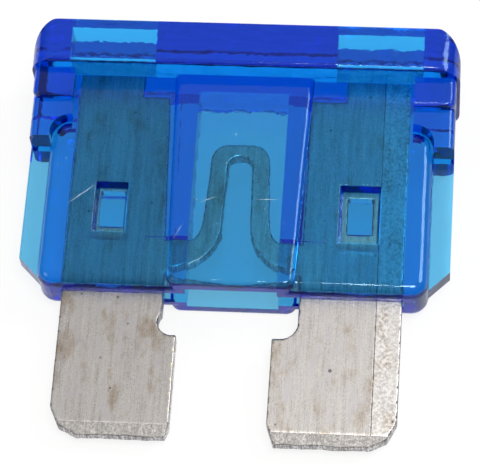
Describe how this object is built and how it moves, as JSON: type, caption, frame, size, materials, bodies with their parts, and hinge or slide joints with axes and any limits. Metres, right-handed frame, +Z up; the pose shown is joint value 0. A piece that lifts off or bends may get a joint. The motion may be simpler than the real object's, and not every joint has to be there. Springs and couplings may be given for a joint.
{
  "type": "blade fuse",
  "caption": "Regular automotive blade fuse: a clear blue one-piece housing moulded around a flat metal stamping with plug-in blades and a thin looped fuse link.",
  "frame": {"origin": "middle of the whole fuse's box, on the ground it lies on", "axes": "The fuse lies on its back. +Z is up, out of its front face. X is its width. +Y is towards the cap, and the blades point towards -Y. It leans 5.7 degrees about X, because the back edge of the deeper cap and the back bottom edge of the window box both touch the ground."},
  "size_m": [0.019, 0.0194, 0.0053],
  "materials": {
    "housing": "clear blue, moulded smooth",
    "element": "rolled zinc strip, dull grey"
  },
  "bodies": {
    "root": {"housing": "housing", "fuse_element": "element"}
  },
  "joints": []
}
